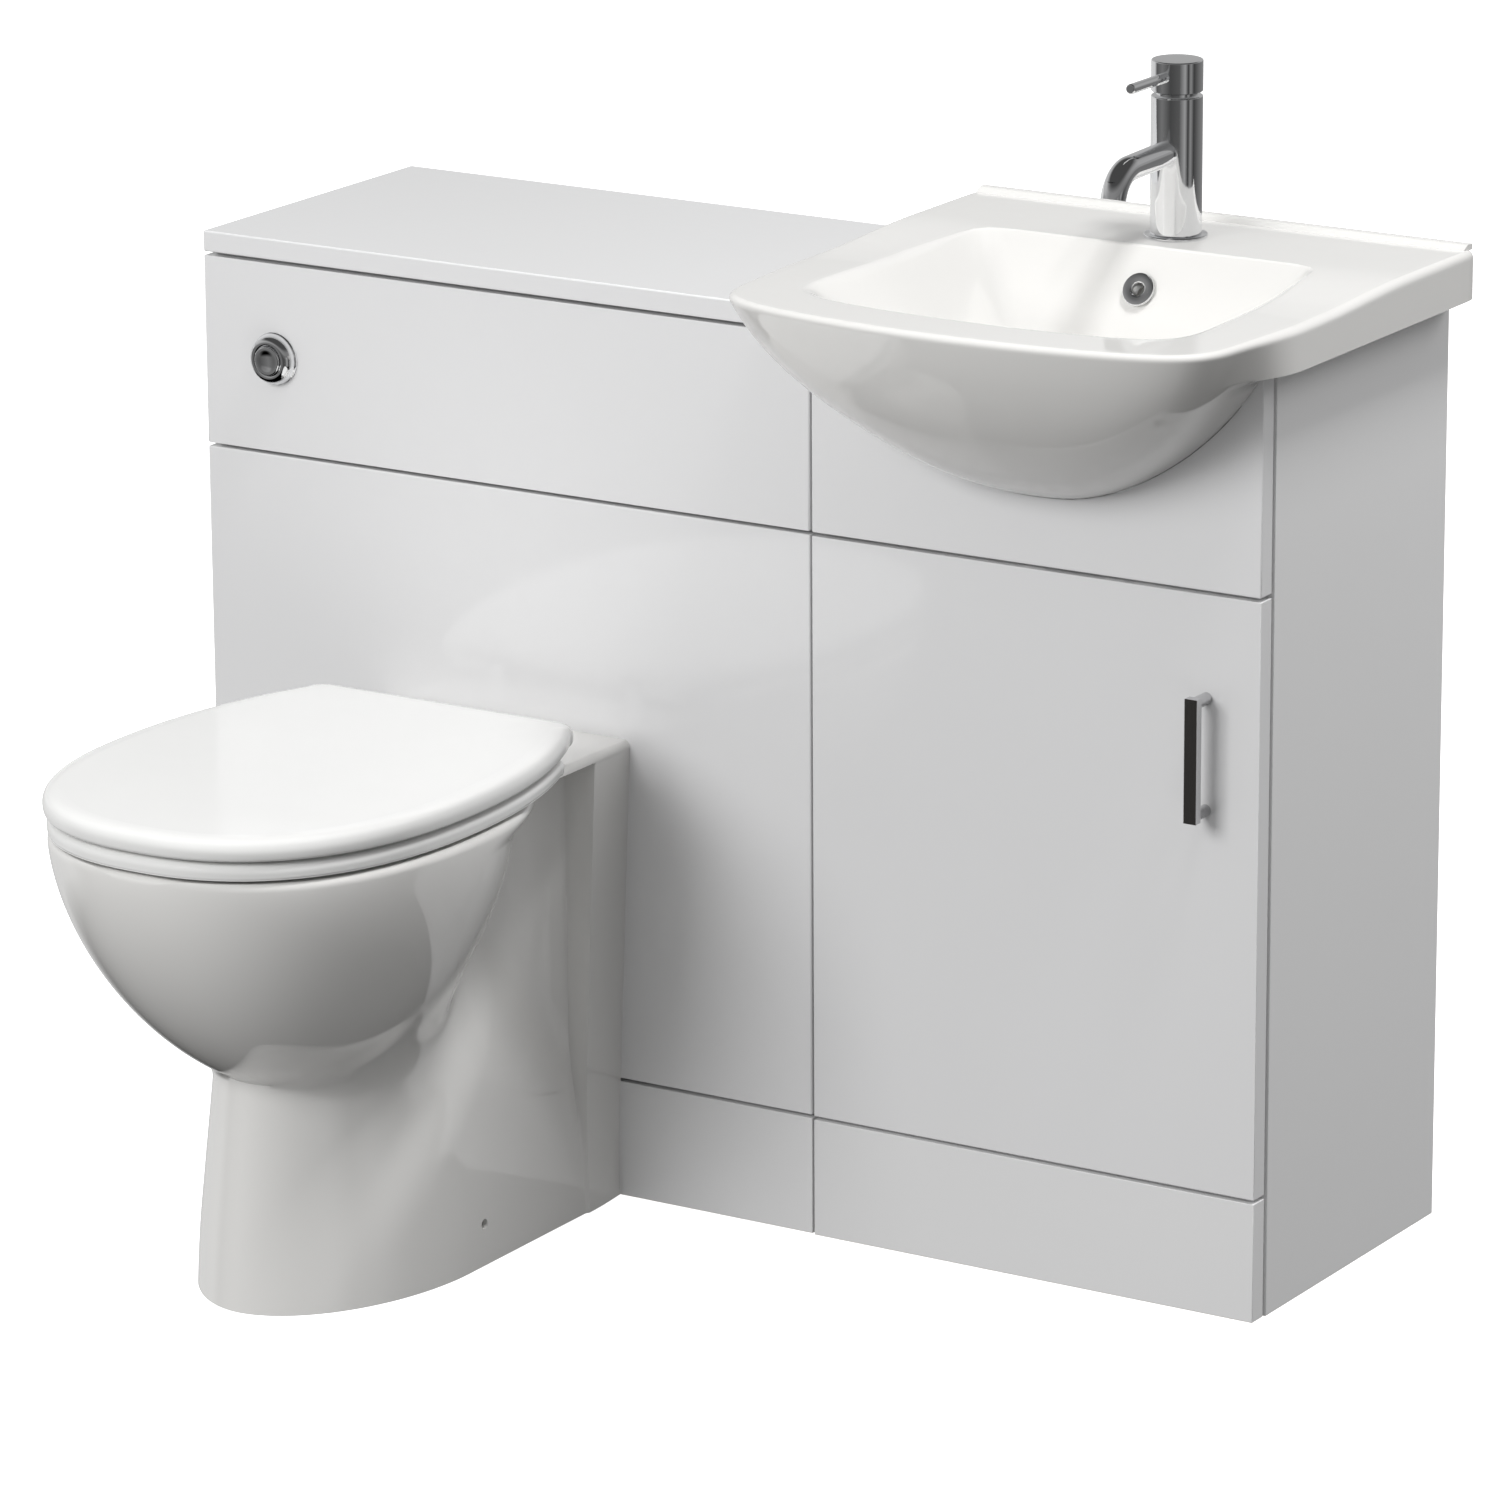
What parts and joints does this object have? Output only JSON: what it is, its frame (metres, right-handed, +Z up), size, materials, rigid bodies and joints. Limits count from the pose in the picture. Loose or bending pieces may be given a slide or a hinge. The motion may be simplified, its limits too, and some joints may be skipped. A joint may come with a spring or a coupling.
{
  "type": "toilet and basin combination unit",
  "caption": "Bathroom combination unit: back-to-wall toilet with a concealed cistern beside a vanity cupboard with a semi-recessed basin and lever tap.",
  "frame": {"origin": "on the floor, below the middle of the whole unit's bounding box", "axes": "+X along the wall, from the toilet to the basin; +Y towards the wall; +Z up"},
  "size_m": [1.0394, 0.837, 0.971],
  "materials": {
    "front_board": "white high-gloss lacquered board",
    "carcass_board": "white melamine-faced chipboard, satin",
    "glazed_china": "white glazed vitreous china, gloss",
    "seat_plastic": "white moulded thermoset plastic, gloss",
    "white_fitting": "white polypropylene fitting, satin",
    "cistern_plastic": "white moulded cistern plastic, matte",
    "grey_fitting": "grey acetal fitting, matte",
    "black_rubber": "black moulded rubber",
    "clear_buffer": "soft translucent buffer",
    "polished_chrome": "chrome-plated brass, polished",
    "brushed_nickel": "brushed nickel",
    "zinc_steel": "zinc-plated steel",
    "bare_copper": "bare copper pipe, dull",
    "braided_steel": "braided stainless steel sleeve"
  },
  "bodies": {
    "unit": {"wc_side_left": "carcass_board", "wc_side_right": "carcass_board", "wc_back_rails": "carcass_board", "wc_front_rails": "carcass_board", "wc_upper_front": "front_board", "wc_lower_front": "front_board", "wc_plinth": "carcass_board", "worktop": "front_board", "cistern_tank": "cistern_plastic", "cistern_lid": "cistern_plastic", "fill_valve": "white_fitting", "flush_valve": "white_fitting", "flush_pipe": "white_fitting", "flush_cone": "black_rubber", "air_hose": "black_rubber", "button_bezel": "polished_chrome", "button_spring": "zinc_steel", "button_cylinder": "white_fitting", "cistern_screws": "zinc_steel", "pan": "glazed_china", "soil_connector": "white_fitting", "pan_brackets": "white_fitting", "pan_screws": "zinc_steel", "hinge_posts": "polished_chrome", "hinge_pins": "zinc_steel", "van_side_left": "carcass_board", "van_side_right": "carcass_board", "van_base": "carcass_board", "van_back_rails": "carcass_board", "van_front_rail": "carcass_board", "van_upper_front": "front_board", "van_plinth": "carcass_board", "hinge_arms": "zinc_steel", "basin": "glazed_china", "overflow_ring": "polished_chrome", "basin_waste": "polished_chrome", "bottle_trap": "white_fitting", "trap_cup": "white_fitting", "waste_pipe": "white_fitting", "tap_body": "polished_chrome", "tap_base_ring": "polished_chrome", "tap_aerator": "grey_fitting", "tap_fixing": "zinc_steel", "tap_tails": "braided_steel", "supply_pipes": "bare_copper"},
    "float": {"float_cup": "grey_fitting"},
    "flush_plunger": {"flush_plunger": "grey_fitting"},
    "flush_button": {"flush_button": "polished_chrome"},
    "seat": {"seat_ring": "seat_plastic", "seat_buffers": "clear_buffer"},
    "lid": {"seat_lid": "seat_plastic", "lid_buffers": "clear_buffer"},
    "door": {"door": "front_board", "hinge_cups": "zinc_steel", "door_handle": "brushed_nickel", "handle_screws": "zinc_steel", "door_buffers": "clear_buffer"},
    "tap_spindle": {"tap_spindle": "zinc_steel"},
    "tap_lever": {"tap_cap": "polished_chrome"},
    "plug": {"waste_plug": "polished_chrome"}
  },
  "joints": [
    {"name": "seat_hinge", "type": "hinge", "parent": "unit", "child": "seat", "pos_m": [-0.21975, 0.0145, 0.414], "axis": [1, 0, 0], "range_deg": [-95, 0]},
    {"name": "lid_hinge", "type": "hinge", "parent": "seat", "child": "lid", "pos_m": [-0.21975, 0.0145, 0.414], "axis": [-1, 0, 0], "range_deg": [0, 96]},
    {"name": "door_hinge", "type": "hinge", "parent": "unit", "child": "door", "pos_m": [0.08575, 0.1105, 0.35], "axis": [0, 0, -1], "range_deg": [0, 100]},
    {"name": "tap_swivel", "type": "hinge", "parent": "unit", "child": "tap_spindle", "pos_m": [0.28775, 0.3365, 0.9386], "axis": [0, 0, 1], "range_deg": [-45, 45]},
    {"name": "tap_lift", "type": "hinge", "parent": "tap_spindle", "child": "tap_lever", "pos_m": [0.28775, 0.3495, 0.9403], "axis": [-1, 0, 0], "range_deg": [0, 18]},
    {"name": "flush_press", "type": "slide", "parent": "unit", "child": "flush_button", "axis": [0, 1, 0], "range_m": [0, 0.006], "stiffness_N_per_m": 400, "springref_m": -0.003, "deforming": ["button_spring"]},
    {"name": "flush_lift", "type": "slide", "parent": "unit", "child": "flush_plunger", "axis": [0, 0, 1], "range_m": [0, 0.024]},
    {"name": "float_rise", "type": "slide", "parent": "unit", "child": "float", "axis": [0, 0, 1], "range_m": [0, 0.14]},
    {"name": "plug_lift", "type": "slide", "parent": "unit", "child": "plug", "axis": [0, 0, 1], "range_m": [0, 0.008]}
  ],
  "couplings": [
    {"joint": "flush_lift", "follows": "flush_press", "ratio": 4}
  ]
}
